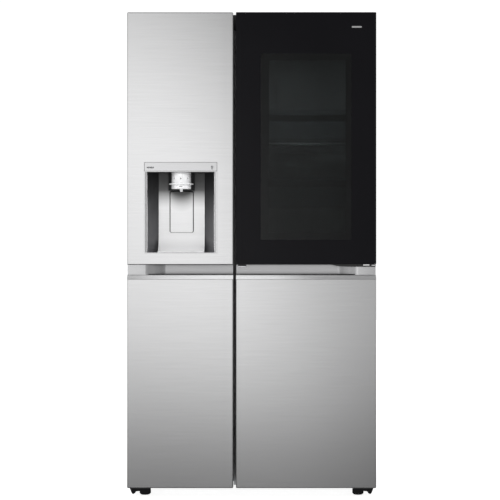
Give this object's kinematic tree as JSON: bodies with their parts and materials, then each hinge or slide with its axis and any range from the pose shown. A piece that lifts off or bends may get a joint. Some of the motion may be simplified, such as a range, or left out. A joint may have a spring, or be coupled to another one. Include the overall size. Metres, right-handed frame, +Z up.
{
  "type": "side by side refrigerator",
  "caption": "Side by side refrigerator with recessed handle channels, an ice and water dispenser in the freezer door and a glazed outer door on the fridge door.",
  "frame": {"origin": "on the floor, under the middle of the cabinet's width and depth", "axes": "+Z up, the doors face -Y, +X to the right as seen from the front"},
  "size_m": [0.913, 0.735, 1.79],
  "materials": {
    "steel": "brushed stainless",
    "case_paint": "satin",
    "zinc": "galvanised",
    "white_plastic": "satin",
    "dark_plastic": "satin",
    "black_plastic": "matt",
    "black_steel": "satin",
    "seal": "matt",
    "foam": "rigid foam",
    "dark_glass": "polished",
    "clear_glass": "polished",
    "clear_plastic": "clear",
    "silver": "fine satin"
  },
  "bodies": {
    "cabinet": {"outer_case": "case_paint", "back_panel": "zinc", "insulation_foam": "foam", "freezer_liner": "white_plastic", "fridge_liner": "white_plastic", "base_frame": "zinc", "machine_cover": "zinc", "compressor": "black_steel", "condenser": "zinc", "evaporator": "zinc", "evaporator_cover": "white_plastic", "fridge_air_duct": "white_plastic", "top_cover": "black_plastic", "top_hinge_left": "zinc", "top_hinge_right": "zinc", "lower_hinge_left": "zinc", "lower_hinge_right": "zinc", "crisper_cover": "clear_glass", "fridge_shelf_lower": "clear_glass", "fridge_shelf_upper": "clear_glass", "freezer_shelf_lower": "clear_glass", "freezer_shelf_upper": "clear_glass"},
    "freezer_door": {"freezer_panel_upper": "steel", "freezer_panel_lower": "steel", "freezer_door_liner": "white_plastic", "freezer_gasket": "seal", "freezer_handle_trim": "silver", "freezer_bin_lower": "clear_plastic", "freezer_bin_upper": "clear_plastic", "ice_bin": "clear_plastic", "ice_maker": "white_plastic", "dispenser_housing": "dark_plastic", "dispenser_back_plate": "steel", "dispenser_panel": "silver", "dispenser_head": "silver"},
    "fridge_door": {"fridge_panel_lower": "steel", "fridge_door_liner": "white_plastic", "fridge_gasket": "seal", "fridge_handle_trim": "silver", "door_bin_lower": "clear_plastic", "door_bin_middle": "clear_plastic", "door_bin_upper": "clear_plastic"},
    "outer_door": {"outer_door_glass": "dark_glass", "outer_door_frame": "black_plastic", "outer_door_window": "dark_glass", "outer_door_gasket": "seal"},
    "levelling_foot_left": {"levelling_foot_left": "black_plastic"},
    "levelling_foot_right": {"levelling_foot_right": "black_plastic"},
    "rear_roller_left": {"rear_roller_left": "white_plastic"},
    "rear_roller_right": {"rear_roller_right": "white_plastic"},
    "condenser_fan": {"condenser_fan": "black_plastic"},
    "crisper_lower": {"crisper_lower": "clear_plastic"},
    "crisper_upper": {"crisper_upper": "clear_plastic"},
    "freezer_drawer_lower": {"freezer_drawer_lower": "clear_plastic"},
    "freezer_drawer_upper": {"freezer_drawer_upper": "clear_plastic"},
    "dispenser_paddle": {"dispenser_paddle": "steel"},
    "button_cubed": {"button_cubed": "silver"},
    "button_water": {"button_water": "silver"},
    "button_crushed": {"button_crushed": "silver"},
    "outer_door_button": {"outer_door_button": "black_plastic"}
  },
  "joints": [
    {"name": "freezer_door_hinge", "type": "hinge", "parent": "cabinet", "child": "freezer_door", "pos_m": [-0.4345, -0.288, 0.908], "axis": [0, 0, -1], "range_deg": [0, 110]},
    {"name": "fridge_door_hinge", "type": "hinge", "parent": "cabinet", "child": "fridge_door", "pos_m": [0.4345, -0.288, 0.908], "axis": [0, 0, 1], "range_deg": [0, 110]},
    {"name": "outer_door_hinge", "type": "hinge", "parent": "fridge_door", "child": "outer_door", "pos_m": [0.442, -0.34, 1.3], "axis": [0, 0, 1], "range_deg": [0, 85]},
    {"name": "dispenser_paddle_pivot", "type": "hinge", "parent": "freezer_door", "child": "dispenser_paddle", "pos_m": [-0.26, -0.2833, 1.121], "axis": [1, 0, 0], "range_deg": [0, 4.5], "stiffness_Nm_per_rad": 2, "springref_deg": -5.73},
    {"name": "button_cubed_push", "type": "slide", "parent": "freezer_door", "child": "button_cubed", "axis": [0.6947, 0.7193, 0], "range_m": [0, 0.001], "stiffness_N_per_m": 400, "springref_m": -0.001},
    {"name": "button_water_push", "type": "slide", "parent": "freezer_door", "child": "button_water", "axis": [0, 1, 0], "range_m": [0, 0.001], "stiffness_N_per_m": 400, "springref_m": -0.001},
    {"name": "button_crushed_push", "type": "slide", "parent": "freezer_door", "child": "button_crushed", "axis": [-0.6947, 0.7193, 0], "range_m": [0, 0.001], "stiffness_N_per_m": 400, "springref_m": -0.001},
    {"name": "outer_door_button_push", "type": "slide", "parent": "outer_door", "child": "outer_door_button", "axis": [0, 0, 1], "range_m": [0, 0.0025], "stiffness_N_per_m": 300, "springref_m": -0.002},
    {"name": "crisper_lower_slide", "type": "slide", "parent": "cabinet", "child": "crisper_lower", "axis": [0, -1, 0], "range_m": [0, 0.05]},
    {"name": "crisper_upper_slide", "type": "slide", "parent": "cabinet", "child": "crisper_upper", "axis": [0, -1, 0], "range_m": [0, 0.05]},
    {"name": "freezer_drawer_lower_slide", "type": "slide", "parent": "cabinet", "child": "freezer_drawer_lower", "axis": [0, -1, 0], "range_m": [0, 0.05]},
    {"name": "freezer_drawer_upper_slide", "type": "slide", "parent": "cabinet", "child": "freezer_drawer_upper", "axis": [0, -1, 0], "range_m": [0, 0.05]},
    {"name": "levelling_foot_left_screw", "type": "hinge", "parent": "cabinet", "child": "levelling_foot_left", "pos_m": [-0.396, -0.285, 0], "axis": [0, 0, 1], "range_deg": [-180, 180]},
    {"name": "levelling_foot_right_screw", "type": "hinge", "parent": "cabinet", "child": "levelling_foot_right", "pos_m": [0.396, -0.285, 0], "axis": [0, 0, 1], "range_deg": [-180, 180]},
    {"name": "rear_roller_left_roll", "type": "hinge", "parent": "cabinet", "child": "rear_roller_left", "pos_m": [-0.4005, 0.3105, 0.02], "axis": [1, 0, 0], "continuous": true},
    {"name": "rear_roller_right_roll", "type": "hinge", "parent": "cabinet", "child": "rear_roller_right", "pos_m": [0.4005, 0.3105, 0.02], "axis": [1, 0, 0], "continuous": true},
    {"name": "condenser_fan_spin", "type": "hinge", "parent": "cabinet", "child": "condenser_fan", "pos_m": [0.0475, 0.2675, 0.142], "axis": [1, 0, 0], "continuous": true}
  ]
}
